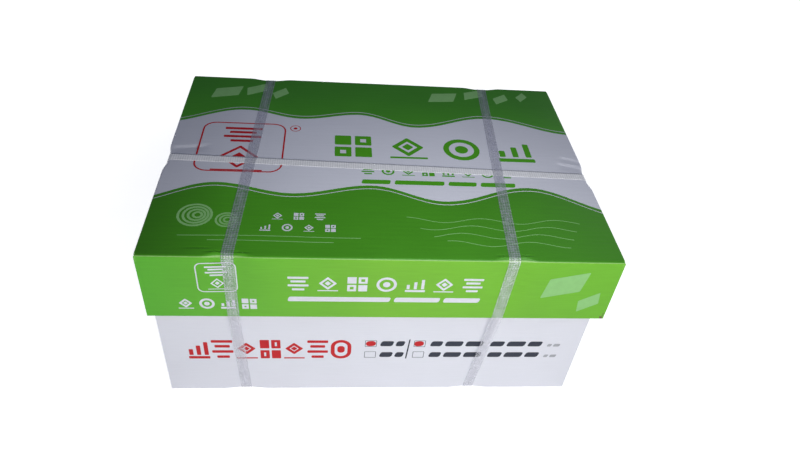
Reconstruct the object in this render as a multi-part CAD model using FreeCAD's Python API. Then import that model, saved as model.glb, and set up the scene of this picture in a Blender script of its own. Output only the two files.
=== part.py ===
"""Strapped carton of copy paper: a folded tray with a loose lid, eight wrapped reams and three straps.

Millimetres, +Z up. The origin is the middle of the rectangle that the carton covers on the floor,
+X runs along the long side and -Y is the front.
"""
import FreeCAD
import Part
import math
import os

# Sheets and reams
sheet_width = 210.0
sheet_length = 297.0
sheet_thickness = 0.097
sheets_in_ream = 500
wrap_side = 0.3          # wrapper and slack on each edge of the sheets
wrap_face = 0.5          # wrapper and trapped air on each face of the sheets
wrap_edge_radius = 1.6   # long edges of a wrapped ream
end_flap_depth = 31.0    # how far an end flap reaches over the ream's end
end_flap_thickness = 0.25
reams_across = 2
reams_high = 4
ream_gap = 0.2           # between the two stacks

# Board and folds
board = 2.0
fold_radius = 2.4        # outside of a fold
raw_edge_setback = 0.4   # a long wall stops this far behind the face of the end wall
tab_length = 42.0
tab_taper = 6.0          # a tab narrows by this much at each side of its free end
tab_margin = 1.5         # from the tab to the rim

# Fit of the reams in the tray and of the tray in the lid
end_play = 2.4           # between a ream's side and the end wall
side_play = 1.6          # between a ream's end and the tray's glued tab
rim_below_stack = 3.5
lid_gap_end = 5.5        # from the tray to the lid's end wall
lid_gap_side = 1.6       # from the tray to the lid's glued tab
lid_depth = 78.0
tray_shift = -2.5        # the lid sits off the tray's middle by this much, along X

# Straps
strap_width = 11.0
strap_thickness = 0.5
strap_margin = 0.4       # pressed board beside the strap, on each side
weld_length = 30.0       # overlap of the strap's two ends
strap_ramp = 12.0        # length over which a strap climbs its own thickness
crossing_margin = 0.9    # flat stretch beside a crossing, on each side

# What a tight strap does to the folds it crosses
lid_dent_inset = 1.6     # the lid's wall is drawn in by this much at its top
lid_dent_radius = 4.5
tray_dent_radius = 5.0
dent_flank = 19.0        # from the strap to the undisturbed fold
dent_run_in = 16.0       # how far a pressed fold reaches into its panel
flank_steps = 3

# Where the straps lie: X of the two cross straps and Y of the long strap, at the folds and at the lid's rim
cross_straps = {
    "strap_cross_left": {
        "near_top": -143.0, "near_rim": -142.6, "near_foot": -138.9,
        "far_foot": -131.0, "far_rim": -129.5, "far_top": -129.5, "weld": 62.0,
    },
    "strap_cross_right": {
        "near_top": 116.5, "near_rim": 112.8, "near_foot": 102.4,
        "far_foot": 128.0, "far_rim": 134.0, "far_top": 134.6, "weld": 62.0,
    },
}
long_strap = {
    "near_top": -12.0, "near_rim": -12.5, "near_foot": -13.5,
    "far_foot": -24.0, "far_rim": -26.0, "far_top": -26.5, "weld": -20.0,
}

# Sizes that follow
ream_width = sheet_width + 2 * wrap_side
ream_length = sheet_length + 2 * wrap_side
ream_height = sheets_in_ream * sheet_thickness + 2 * wrap_face
stack_width = reams_across * ream_width + (reams_across - 1) * ream_gap
stack_height = reams_high * ream_height
tray_length = stack_width + 2 * (end_play + board)
tray_width = ream_length + 2 * (side_play + 2 * board)
tray_height = board + stack_height - rim_below_stack
lid_length = tray_length + 2 * (lid_gap_end + board)
lid_width = tray_width + 2 * (lid_gap_side + 2 * board)
lid_top = board + stack_height + board
lid_rim = lid_top - lid_depth
outside = 1.0            # how far a cutting tool reaches past what it cuts


def smooth_step(t):
    """0 at t = 0 and 1 at t = 1, level at both ends."""
    return t * t * (3 - 2 * t)


def read_off(table, s):
    """The value at s on a line through the table's (place, value) pairs."""
    if s <= table[0][0]:
        return table[0][1]
    for (s0, v0), (s1, v1) in zip(table, table[1:]):
        if s <= s1:
            return v0 + (v1 - v0) * (s - s0) / (s1 - s0)
    return table[-1][1]


def dent_table(spans):
    """How much of the full dent there is along a fold: 1 under each strap, falling to 0 over each flank."""
    table = []
    for low, high in sorted(spans):
        steps = [n / flank_steps for n in range(flank_steps + 1)]
        table += [(low - dent_flank * (1 - t), smooth_step(t)) for t in steps]
        table += [(high + dent_flank * t, 1 - smooth_step(t)) for t in steps]
    return table


def strap_span(*places):
    """The stretch of a fold that a strap covers, for the places its middle takes there."""
    reach = strap_width / 2 + strap_margin
    return min(places) - reach, max(places) + reach


def fold_side(across, depth, share, dent, radius, run_in):
    """Half a section, from the rim up the wall, round the fold and onto the panel, as (u, v) places.

    u runs across, 0 in the middle, and v is the depth below the panel's outer face.
    """
    edge = across / 2
    inset = dent["inset"] * share
    drop = dent["drop"] * share
    r = radius + (dent["radius"] - fold_radius) * share
    slope = inset / (depth - drop - r)
    diagonal = r * (1 - math.sqrt(0.5))
    return {
        "rim": (edge + slope * dent["past_rim"], depth + dent["past_rim"]),
        "wall": (edge - inset, drop + r),
        "mid": (edge - inset - diagonal, drop + diagonal),
        "top": (edge - inset - r, drop),
        "flat": (edge - run_in, 0.0),
    }


def section_wire(near, far, place):
    """The closed outline of one section. place turns (u, v) into a point."""
    def at(side, sign, name):
        u, v = side[name]
        return place(sign * u, v)

    edges = [
        Part.LineSegment(at(near, -1, "rim"), at(near, -1, "wall")),
        Part.Arc(at(near, -1, "wall"), at(near, -1, "mid"), at(near, -1, "top")),
        Part.LineSegment(at(near, -1, "top"), at(near, -1, "flat")),
        Part.LineSegment(at(near, -1, "flat"), at(far, 1, "flat")),
        Part.LineSegment(at(far, 1, "flat"), at(far, 1, "top")),
        Part.Arc(at(far, 1, "top"), at(far, 1, "mid"), at(far, 1, "wall")),
        Part.LineSegment(at(far, 1, "wall"), at(far, 1, "rim")),
        Part.LineSegment(at(far, 1, "rim"), at(near, -1, "rim")),
    ]
    return Part.Wire([edge.toShape() for edge in edges])


def folded_prism(along, across, depth, radius, run_in, dent, near_table, far_table, place):
    """A channel form whose two long folds carry dents, lofted from section to section.

    place turns (s, u, v) into a point, s being the place along the folds.
    """
    ends = [-along / 2 - outside, along / 2 + outside]
    places = sorted(set(ends + [s for s, _ in near_table + far_table]))
    wires = []
    for s in places:
        near = fold_side(across, depth, read_off(near_table, s), dent, radius, run_in)
        far = fold_side(across, depth, read_off(far_table, s), dent, radius, run_in)
        wires.append(section_wire(near, far, lambda u, v, s=s: place(s, u, v)))
    return Part.makeLoft(wires, True, True)


def folded_form(length, width, depth, radius, run_in, dent, tables, rise):
    """The solid inside a folded shell: the common part of its lengthwise and its crosswise channel form.

    The panel's outer face is at z = 0 and the walls run to z = -rise * depth.
    """
    lengthwise = folded_prism(
        length, width, depth, radius, run_in, dent, tables["front"], tables["back"],
        lambda s, u, v: FreeCAD.Vector(s, u, -rise * v),
    )
    longer = dict(dent, past_rim=dent["past_rim"] + outside)
    crosswise = folded_prism(
        width, length, depth, radius, run_in, longer, tables["left"], tables["right"],
        lambda s, u, v: FreeCAD.Vector(u, s, -rise * v),
    )
    return lengthwise.common(crosswise)


def corner_groove(length, width, depth, rise, side_x, side_y):
    """The space outside the fold by which an end wall turns into its tab, beside the long wall's raw edge."""
    x = length / 2
    y = width / 2 - board
    r = fold_radius
    diagonal = r * (1 - math.sqrt(0.5))

    def at(u, v):
        return FreeCAD.Vector(side_x * u, side_y * v, 0)

    edges = [
        Part.Arc(at(x - r, y), at(x - diagonal, y - diagonal), at(x, y - r)),
        Part.LineSegment(at(x, y - r), at(x + outside, y - r)),
        Part.LineSegment(at(x + outside, y - r), at(x + outside, y)),
        Part.LineSegment(at(x + outside, y), at(x - r, y)),
    ]
    face = Part.Face(Part.Wire([edge.toShape() for edge in edges]))
    groove = face.extrude(FreeCAD.Vector(0, 0, -rise * depth))
    groove.translate(FreeCAD.Vector(0, 0, -rise * (fold_radius + raw_edge_setback)))
    return groove


def raw_edge_trim(length, width, depth, rise, side_x, side_y):
    """What comes off a long wall's raw edge, so that it stops behind the face of the end wall."""
    trim = Part.makeBox(raw_edge_setback + outside, board + outside, depth)
    trim.translate(FreeCAD.Vector(length / 2 - raw_edge_setback, width / 2 - board, 0))
    if rise > 0:
        trim.translate(FreeCAD.Vector(0, 0, -depth))
    trim.translate(FreeCAD.Vector(0, 0, -rise * (fold_radius + raw_edge_setback)))
    if side_x < 0:
        trim = trim.mirror(FreeCAD.Vector(), FreeCAD.Vector(1, 0, 0))
    if side_y < 0:
        trim = trim.mirror(FreeCAD.Vector(), FreeCAD.Vector(0, 1, 0))
    return trim


def glued_tab(length, width, depth, rise, side_x, side_y):
    """A tab of the end wall, glued to the inside of the long wall."""
    y = width / 2 - board
    wall = length / 2 - board
    free_end = length / 2 - tab_length
    top = board + tab_margin
    foot = depth - tab_margin
    outline = [
        (wall, top), (free_end, top + tab_taper), (free_end, foot - tab_taper), (wall, foot), (wall, top),
    ]
    points = [FreeCAD.Vector(side_x * x, side_y * y, -rise * v) for x, v in outline]
    return Part.Face(Part.makePolygon(points)).extrude(FreeCAD.Vector(0, -side_y * board, 0))


def folded_shell(length, width, depth, outer_dent, inner_dent, tables, rise):
    """A die-cut tray folded up from one board: panel, four walls and four glued tabs."""
    outer = folded_form(length, width, depth, fold_radius, dent_run_in, outer_dent, tables, rise)
    cavity = folded_form(
        length - 2 * board, width - 2 * board, depth - board, fold_radius - board,
        dent_run_in - board, inner_dent, tables, rise,
    )
    cavity.translate(FreeCAD.Vector(0, 0, -rise * board))
    shell = outer.cut(cavity)
    corners = [(x, y) for x in (-1, 1) for y in (-1, 1)]
    shell = shell.fuse([glued_tab(length, width, depth, rise, *c) for c in corners])
    shell = shell.cut([corner_groove(length, width, depth, rise, *c) for c in corners])
    shell = shell.cut([raw_edge_trim(length, width, depth, rise, *c) for c in corners])
    return shell.removeSplitter()


def strap_tables(near, far):
    """Dent tables of the four folds that the three straps cross, at the places that near and far name."""
    spans = {"front": [], "back": [], "left": [], "right": []}
    for strap in cross_straps.values():
        spans["front"].append(strap_span(*[strap[name] for name in near]))
        spans["back"].append(strap_span(*[strap[name] for name in far]))
    spans["left"].append(strap_span(*[long_strap[name] for name in near]))
    spans["right"].append(strap_span(*[long_strap[name] for name in far]))
    return {edge: dent_table(found) for edge, found in spans.items()}


def make_lid():
    """The lid: its walls are drawn in at the top where the straps bear on the folds."""
    tables = strap_tables(("near_top", "near_rim"), ("far_top", "far_rim"))
    outer_dent = {"inset": lid_dent_inset, "drop": 0.0, "radius": lid_dent_radius, "past_rim": 0.0}
    inner_dent = dict(outer_dent, past_rim=outside)
    lid = folded_shell(lid_length, lid_width, lid_depth, outer_dent, inner_dent, tables, 1)
    lid.translate(FreeCAD.Vector(0, 0, lid_top))
    return lid


def make_tray(channels):
    """The tray: the straps press a channel into its underside and flatten its bottom folds."""
    tables = strap_tables(("near_foot",), ("far_foot",))
    shift = -tray_shift
    for edge in ("front", "back"):
        tables[edge] = [(s + shift, share) for s, share in tables[edge]]
    outer_dent = {"inset": 0.0, "drop": strap_thickness, "radius": tray_dent_radius, "past_rim": 0.0}
    inner_dent = dict(outer_dent, drop=0.0, past_rim=outside)
    tray = folded_shell(tray_length, tray_width, tray_height, outer_dent, inner_dent, tables, -1)
    tray.translate(FreeCAD.Vector(tray_shift, 0, 0))
    return tray.cut(channels).removeSplitter()


def end_flap(side, along, lift, flap_half_width):
    """One glued end flap of a ream's wrapper: a trapezoid that tapers at 45 degrees."""
    base = ream_height / 2 - wrap_edge_radius
    tip = base - end_flap_depth
    half = flap_half_width
    outline = [(-half, base), (half, base), (half - end_flap_depth, tip), (end_flap_depth - half, tip)]
    start = ream_length / 2 - end_flap_thickness * 2 + lift
    points = [FreeCAD.Vector(x, side * start, along * z) for x, z in outline + outline[:1]]
    return Part.Face(Part.makePolygon(points)).extrude(FreeCAD.Vector(0, side * end_flap_thickness, 0))


def make_ream():
    """One wrapped ream lying flat, its middle at the origin, with folded and glued ends."""
    body_length = ream_length - 4 * end_flap_thickness
    body = Part.makeBox(ream_width, body_length, ream_height)
    body.translate(FreeCAD.Vector(-ream_width / 2, -body_length / 2, -ream_height / 2))
    long_edges = [e for e in body.Edges if abs(e.tangentAt(e.FirstParameter).y) > 0.5]
    body = body.makeFillet(wrap_edge_radius, long_edges)
    half = ream_width / 2 - wrap_edge_radius
    flaps = []
    for side in (-1, 1):
        flaps.append(end_flap(side, 1, 0.0, half))
        flaps.append(end_flap(side, -1, 0.0, half))
        flaps.append(end_flap(side, -1, end_flap_thickness, half))
    return body.fuse(flaps).removeSplitter()


def ream_places():
    """Node name and middle of each ream, by stack and from the bottom up."""
    places = {}
    pitch = ream_width + ream_gap
    for column, stack in enumerate(("left", "right")):
        x = tray_shift + (column - (reams_across - 1) / 2) * pitch
        for layer in range(reams_high):
            z = board + (layer + 0.5) * ream_height
            places["ream_%s_%d" % (stack, layer + 1)] = FreeCAD.Vector(x, 0, z)
    return places


def strap_bend(point, sign, corner_p, corner_z, rise, radius, q):
    """The quarter turn of a strap round a fold whose faces meet at (corner_p, corner_z)."""
    centre_p = corner_p - sign * radius
    centre_z = corner_z - rise * radius

    def at(r, angle):
        p = centre_p + sign * r * math.cos(angle)
        z = centre_z + rise * r * math.sin(angle)
        return point(p, q - strap_width / 2, z)

    inner = radius
    outer = radius + strap_thickness
    edges = [
        Part.Arc(at(inner, 0), at(inner, math.pi / 4), at(inner, math.pi / 2)),
        Part.LineSegment(at(inner, math.pi / 2), at(outer, math.pi / 2)),
        Part.Arc(at(outer, math.pi / 2), at(outer, math.pi / 4), at(outer, 0)),
        Part.LineSegment(at(outer, 0), at(inner, 0)),
    ]
    face = Part.Face(Part.Wire([edge.toShape() for edge in edges]))
    return face.extrude(point(0, strap_width, 0))


def strap_slice(point, p, z, q, half_width, grow_p, grow_z):
    """The strap's cross-section at (p, z), growing outwards by grow_p or grow_z."""
    corners = [
        point(p, q - half_width, z),
        point(p, q + half_width, z),
        point(p + grow_p, q + half_width, z + grow_z),
        point(p + grow_p, q - half_width, z + grow_z),
        point(p, q - half_width, z),
    ]
    return Part.makePolygon(corners)


def level_runs(point, stations, half_width, grow_z):
    """Stretches of strap, or of its channel, between (p, z, q) stations on the top or the underside."""
    slices = [strap_slice(point, p, z, q, half_width, 0, grow_z) for p, z, q in stations]
    return [Part.makeLoft(list(pair), True, True) for pair in zip(slices, slices[1:])]


def wall_runs(point, sign, stations):
    """Stretches of strap between (p, z, q) stations down a wall, growing away from it."""
    slices = [
        strap_slice(point, p, z, q, strap_width / 2, sign * strap_thickness, 0) for p, z, q in stations
    ]
    return [Part.makeLoft(list(pair), True, True) for pair in zip(slices, slices[1:])]


def lateral(strap, level, near_p, far_p, p):
    """The strap's sideways place at p, on the straight line between its two bends."""
    near, far = strap["near_" + level], strap["far_" + level]
    return near + (far - near) * (p - near_p) / (far_p - near_p)


def make_strap(strap, point, half_lid, near_foot_p, far_foot_p, over, hops):
    """One strap as a closed loop with welded ends, and the channel that it presses into the tray.

    over lists the places on top where it climbs over another strap, and hops the places on the
    underside where it is pressed up by one. Both are (p, half length) pairs.
    """
    near_top_p = -half_lid + lid_dent_inset + lid_dent_radius
    far_top_p = -near_top_p
    near_low_p = near_foot_p + tray_dent_radius
    far_low_p = far_foot_p - tray_dent_radius
    foot_z = strap_thickness + tray_dent_radius

    def top_q(p):
        return lateral(strap, "top", near_top_p, far_top_p, p)

    def low_q(p):
        return lateral(strap, "foot", near_low_p, far_low_p, p)

    pieces = []
    for sign, side, foot_p in ((-1, "near_", near_foot_p), (1, "far_", far_foot_p)):
        corner = sign * (half_lid - lid_dent_inset)
        pieces.append(strap_bend(point, sign, corner, lid_top, 1, lid_dent_radius, strap[side + "top"]))
        pieces.append(strap_bend(
            point, sign, foot_p, strap_thickness, -1, tray_dent_radius, strap[side + "foot"],
        ))
        pieces += wall_runs(point, sign, [
            (corner, lid_top - lid_dent_radius, strap[side + "top"]),
            (sign * half_lid, lid_rim, strap[side + "rim"]),
            (foot_p, foot_z, strap[side + "foot"]),
        ])

    top = [(near_top_p, lid_top, top_q(near_top_p)), (far_top_p, lid_top, top_q(far_top_p))]
    for p, half in over:
        climbed = lid_top + strap_thickness
        top += [(p - half, climbed, top_q(p - half)), (p + half, climbed, top_q(p + half))]
    pieces += level_runs(point, sorted(top), strap_width / 2, strap_thickness)

    weld_start = strap["weld"] - weld_length / 2
    weld_end = strap["weld"] + weld_length / 2
    flat = strap_thickness
    pressed = 2 * strap_thickness
    low = [(near_low_p, flat, low_q(near_low_p)), (weld_end, flat, low_q(weld_end))]
    tail = [(weld_start, pressed, low_q(weld_start)), (weld_end, pressed, low_q(weld_end))]
    tail += [(weld_end + strap_ramp, flat, low_q(weld_end + strap_ramp)), (far_low_p, flat, low_q(far_low_p))]
    for p, half in hops:
        line = tail if p > weld_end else low
        line += [(p + d, z, low_q(p + d)) for d, z in (
            (-half - strap_ramp, flat), (-half, pressed), (half, pressed), (half + strap_ramp, flat),
        )]
    low, tail = sorted(low), sorted(tail)
    for line in (low, tail):
        pieces += level_runs(point, line, strap_width / 2, -strap_thickness)
    channel_half = strap_width / 2 + strap_margin
    deep = -2 * strap_thickness - outside
    channel = level_runs(point, low, channel_half, deep) + level_runs(point, tail, channel_half, deep)
    pocket = [(weld_start - strap_margin, pressed, low_q(weld_start)), tail[0]]
    channel += level_runs(point, pocket, channel_half, deep)
    return pieces[0].fuse(pieces[1:]).removeSplitter(), channel


def along_y(p, q, z):
    """A cross strap's (along, sideways, up) as a point."""
    return FreeCAD.Vector(q, p, z)


def along_x(p, q, z):
    """The long strap's (along, sideways, up) as a point."""
    return FreeCAD.Vector(p, q, z)


def crossing(cross, level):
    """X and Y where a cross strap and the long strap meet, on top or on the underside."""
    x = (cross["near_" + level] + cross["far_" + level]) / 2
    y = (long_strap["near_" + level] + long_strap["far_" + level]) / 2
    for _ in range(4):
        y = lateral(long_strap, level, -lid_length / 2, lid_length / 2, x)
        x = lateral(cross, level, -lid_width / 2, lid_width / 2, y)
    return x, y


def make_straps():
    """The three straps by node name, and the channels that they press into the tray."""
    reach = strap_width / 2 + crossing_margin
    straps = {}
    channels = []
    for name, strap in cross_straps.items():
        over = [(crossing(strap, "top")[1], reach)]
        straps[name], channel = make_strap(
            strap, along_y, lid_width / 2, -tray_width / 2, tray_width / 2, over, [],
        )
        channels += channel
    hops = [(crossing(strap, "foot")[0], reach) for strap in cross_straps.values()]
    straps["strap_long"], channel = make_strap(
        long_strap, along_x, lid_length / 2, tray_shift - tray_length / 2, tray_shift + tray_length / 2,
        [], hops,
    )
    return straps, channels + channel


def make_parts():
    """Every node by name."""
    parts, channels = make_straps()
    parts["tray"] = make_tray(channels)
    parts["lid"] = make_lid()
    ream = make_ream()
    for name, place in ream_places().items():
        parts[name] = ream.translated(place)
    return parts


def main():
    os.makedirs("parts", exist_ok=True)
    for name, shape in make_parts().items():
        shape.exportStep("parts/%s.step" % name)
        print(name, len(shape.Solids), "solid, valid:", shape.isValid(), "volume:", round(shape.Volume, 1))


main()
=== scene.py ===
"""Strapped carton of copy paper: the board, its print, the straps, the reams and the studio.

Laid out as an add-on and run as a script. Every new surface is worked out with numpy in metres.
"""
import math

import bmesh
import bpy
import numpy as np
from bpy.props import FloatProperty, FloatVectorProperty, PointerProperty
from mathutils import Matrix, Vector


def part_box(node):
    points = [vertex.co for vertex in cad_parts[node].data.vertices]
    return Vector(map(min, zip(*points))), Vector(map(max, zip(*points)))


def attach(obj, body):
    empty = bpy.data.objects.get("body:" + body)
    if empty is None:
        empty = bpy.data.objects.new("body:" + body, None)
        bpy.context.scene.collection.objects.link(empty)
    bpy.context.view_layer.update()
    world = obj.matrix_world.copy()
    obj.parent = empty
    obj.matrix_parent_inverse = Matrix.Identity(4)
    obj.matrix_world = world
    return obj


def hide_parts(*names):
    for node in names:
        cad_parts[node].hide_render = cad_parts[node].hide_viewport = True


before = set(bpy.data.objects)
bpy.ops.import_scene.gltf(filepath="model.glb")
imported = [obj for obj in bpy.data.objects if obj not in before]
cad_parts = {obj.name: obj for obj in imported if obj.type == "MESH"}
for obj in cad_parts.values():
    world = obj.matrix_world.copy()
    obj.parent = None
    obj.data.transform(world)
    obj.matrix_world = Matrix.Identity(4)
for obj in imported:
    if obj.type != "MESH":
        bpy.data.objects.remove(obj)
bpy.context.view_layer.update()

bl_info = {
    "name": "Strapped paper carton",
    "version": (1, 0, 0),
    "blender": (4, 5, 0),
    "location": "View3D > Sidebar > Carton",
    "description": "Folded board carton with printed fields, plastic straps and wrapped reams",
    "category": "Object",
}

BODY = "root"
REAMS = sorted(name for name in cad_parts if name.startswith("ream_"))
LID_LOW, LID_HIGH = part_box("lid")
TRAY_LOW, TRAY_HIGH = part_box("tray")
CROSS_STRAPS = ("strap_cross_left", "strap_cross_right")
LONG_STRAP = "strap_long"

# Painted shade on the lid's panel: stops along X at which the lid's inks are darkened to a share of their full
# strength, as (place, share); darkest at the left end, where the light falls off, and a little darker towards the
# right
GREEN_PAINTED_SHADE_LEVELS = ((-0.215, 0.64), (-0.150, 0.90), (-0.060, 0.84), (0.040, 0.78), (0.100, 0.73), (0.200, 0.71))
WHITE_PAINTED_SHADE_LEVELS = ((-0.215, 0.84), (-0.150, 0.93), (-0.090, 1.0), (0.090, 1.0), (0.200, 0.95))
# Colours of the band along the folds: on the green folds it is partly rubbed wear and partly a painted highlight; on
# white and on the tray it is wear
WORN_GREEN_AND_HIGHLIGHT = (0.42, 0.66, 0.25)
WORN_WHITE = (0.78, 0.78, 0.80)
SCUFFED_BOARD = (0.30, 0.24, 0.19)
FLUTE_PITCH = 0.0045

# Slots of the lid's inks
GREEN, WHITE, FRONT, BACK = range(4)

# Points of a strap's section on its outer and its inner face
OUTER, INNER = 21, 7

# Area lamps: name, position, target, size, power in watts and colour
LAMPS = (
    ("key", (0.15, -1.20, 0.50), (0.0, -0.05, 0.12), 0.65, 8.7, (1.0, 0.99, 0.97)),
    ("above", (0.10, -0.22, 0.50), (0.02, -0.04, 0.20), 0.20, 0.60, (0.95, 0.97, 1.0)),
    ("sheen", (1.10, 1.30, 0.95), (0.12, 0.0, 0.20), 0.45, 1.2, (0.90, 0.94, 1.0)),
    ("left", (-1.60, 0.30, 0.11), (0.0, 0.0, 0.10), 0.20, 6.0, (1.0, 1.0, 1.0)),
    ("right", (1.60, 0.30, 0.11), (0.0, 0.0, 0.10), 0.20, 6.0, (1.0, 1.0, 1.0)),
    ("back", (0.0, 1.70, 0.11), (0.0, 0.0, 0.10), 0.20, 6.0, (1.0, 1.0, 1.0)),
)
SKY_COLOUR = (0.40, 0.50, 1.0)
SKY_STRENGTH = 0.09
FLOOR_HALF = 6.0
FLOOR_GAP = 0.0004

# The photograph's camera: azimuth, elevation and roll in degrees, its place, and its focal length in pixels
CAMERA_ANGLES = (-8.03, 40.53, 6.46)
CAMERA_PLACE = (-0.0540, -0.5858, 0.6107)
FOCAL_PIXELS = 660.1
FRAME_PIXELS = 800.0

# Places of a strap's middle at the folds, in the order of a strap's six sideways values
NEAR_TOP, NEAR_RIM, NEAR_FOOT, FAR_FOOT, FAR_RIM, FAR_TOP = range(6)


def length(name, description, default):
    """A size that a user can change."""
    return FloatProperty(name=name, description=description, default=default, min=0.0, unit="LENGTH", precision=5)


def colour(name, description, default):
    """A colour that a user can change."""
    return FloatVectorProperty(
        name=name, description=description, default=default, size=3, min=0.0, max=1.0, subtype="COLOR",
    )


def line(name, default):
    """The six sideways places of a strap."""
    return FloatVectorProperty(
        name=name, description="Sideways place at the near top, rim and foot and the far foot, rim and top",
        default=default, size=6, unit="LENGTH", precision=4,
    )


class CartonSizes(bpy.types.PropertyGroup):
    """Sizes of the board, its folds and what the straps do to them."""

    board: length("Board", "Thickness of the board", 0.002)
    fold: length("Fold radius", "Outside radius of a fold", 0.0021)
    setback: length("Raw edge setback", "How far a raw edge stops behind the end wall's face", 0.0004)
    tab: length("Tab", "Length of a glued tab", 0.042)
    tab_margin: length("Tab margin", "From a tab to the rim", 0.0035)
    lid_inset: length("Lid dent", "How far a strap draws the lid's wall in at its top", 0.0016)
    lid_radius: length("Lid fold under a strap", "Fold radius of the lid under a strap", 0.0045)
    tray_radius: length("Tray fold under a strap", "Fold radius of the tray under a strap", 0.005)
    flank: length("Dent flank", "From a strap to the undisturbed fold", 0.019)
    channel_flank: length("Channel flank", "From a strap to the undisturbed underside", 0.004)


class StrapSizes(bpy.types.PropertyGroup):
    """Sizes and places of the straps."""

    width: length("Width", "Width of a strap", 0.011)
    thickness: length("Thickness", "Height of a strap with its embossing", 0.0005)
    clearance: length("Clearance", "Between a strap and the printed board", 0.0001)
    emboss: length("Embossing", "Depth of the embossed diamonds", 0.00016)
    emboss_pitch: length("Embossing pitch", "Pitch of the embossed diamonds", 0.0024)
    weld: length("Weld", "Length over which a strap's ends overlap", 0.030)
    ramp: length("Ramp", "Length over which a strap climbs its own thickness", 0.012)
    reach: length("Crossing reach", "Flat half-length where two straps cross", 0.0064)
    cross_left: line("Left cross strap", (-0.1430, -0.1426, -0.1389, -0.1310, -0.1295, -0.1295))
    cross_right: line("Right cross strap", (0.1165, 0.1128, 0.1024, 0.1280, 0.1340, 0.1346))
    long: line("Long strap", (-0.0120, -0.0125, -0.0135, -0.0240, -0.0260, -0.0265))
    cross_weld: length("Cross strap weld", "Middle of a cross strap's weld", 0.062)
    long_weld: FloatProperty(
        name="Long strap weld", description="Middle of the long strap's weld", default=-0.020, unit="LENGTH",
    )


class CartonColours(bpy.types.PropertyGroup):
    """Colours of inks, papers and straps."""

    green: colour("Green ink", "Ink of the panel's fields near the front", (0.090, 0.415, 0.015))
    # Painted shade: a darker green that the panel's green fades to towards the back, also used on the back wall
    back_green: colour("Back green ink", "Ink of the panel's fields near the back", (0.065, 0.310, 0.020))
    # Painted light on the lid's front wall: its green is darker at the left, painted shade, and brighter and
    # yellower in the middle and at the right, painted sheen
    left_wall_green_shaded: colour("Left green ink", "Ink of the front wall at its left", (0.100, 0.445, 0.026))
    front_green: colour("Front green ink", "Ink of the front wall at its middle", (0.188, 0.500, 0.034))
    right_wall_green_sheen: colour("Right green ink", "Ink of the front wall at its right", (0.158, 0.475, 0.024))
    pale_green: colour("Pale green ink", "Ink of the small motifs on the green fields", (0.30, 0.62, 0.22))
    white: colour("Coated white", "Unprinted coated board", (0.80, 0.81, 0.87))
    red: colour("Red ink", "Red print", (0.60, 0.022, 0.026))
    dark: colour("Dark ink", "Dark print", (0.035, 0.040, 0.060))
    grey: colour("Grey ink", "Small grey print", (0.42, 0.43, 0.46))
    kraft: colour("Kraft", "Raw edges and inside of the board", (0.36, 0.24, 0.14))
    strap: colour("Strap", "Translucent plastic", (0.50, 0.50, 0.57))
    # Painted sheen: the long strap is whiter and more opaque than the cross straps, in place of light off its
    # crowned face
    long_strap: colour("Long strap", "Translucent plastic of the long strap", (0.95, 0.96, 0.97))
    wrap: colour("Ream wrap", "Paper round a ream", (0.82, 0.82, 0.78))
    floor: colour("Floor", "Studio floor", (0.86, 0.86, 0.86))


# Shapes


def smooth_step(t):
    """0 below 0 and 1 above 1, level at both ends: 3t^2 - 2t^3 between."""
    t = np.clip(t, 0.0, 1.0)
    return t * t * (3.0 - 2.0 * t)


def eased(x, knots):
    """A wave through its crests and troughs: half a cosine from each (x, value) knot to the next."""
    xs, values = np.array(knots).T
    k = np.clip(np.searchsorted(xs, x) - 1, 0, len(xs) - 2)
    share = np.clip((x - xs[k]) / (xs[k + 1] - xs[k]), 0.0, 1.0)
    return values[k] + (values[k + 1] - values[k]) * (1.0 - np.cos(np.pi * share)) / 2.0


def spread(low, high, coarse, fine, places, reach):
    """Places from low to high whose spacing falls from coarse to fine near the given places.

    The running total of 1/spacing is cut into equal shares.
    """
    x = np.linspace(low, high, 2000)
    near = np.zeros_like(x)
    for place in places:
        near = np.maximum(near, 1.0 - smooth_step((abs(x - place) - reach) / reach))
    density = 1.0 / (coarse + (fine - coarse) * near)
    total = np.concatenate([[0.0], np.cumsum((density[1:] + density[:-1]) / 2.0 * np.diff(x))])
    return np.interp(np.linspace(0.0, total[-1], int(total[-1]) + 2), total, x)


def grid_faces(rows, columns, wrap=False):
    """Quads of a grid of rows x columns points, closed round its columns if wrap is set."""
    index = np.arange(rows * columns).reshape(rows, columns)
    right = np.roll(index, -1, axis=1)
    quads = np.stack([index[:-1], right[:-1], right[1:], index[1:]], axis=-1)
    if not wrap:
        quads = quads[:, :-1]
    return quads.reshape(-1, 4)


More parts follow.
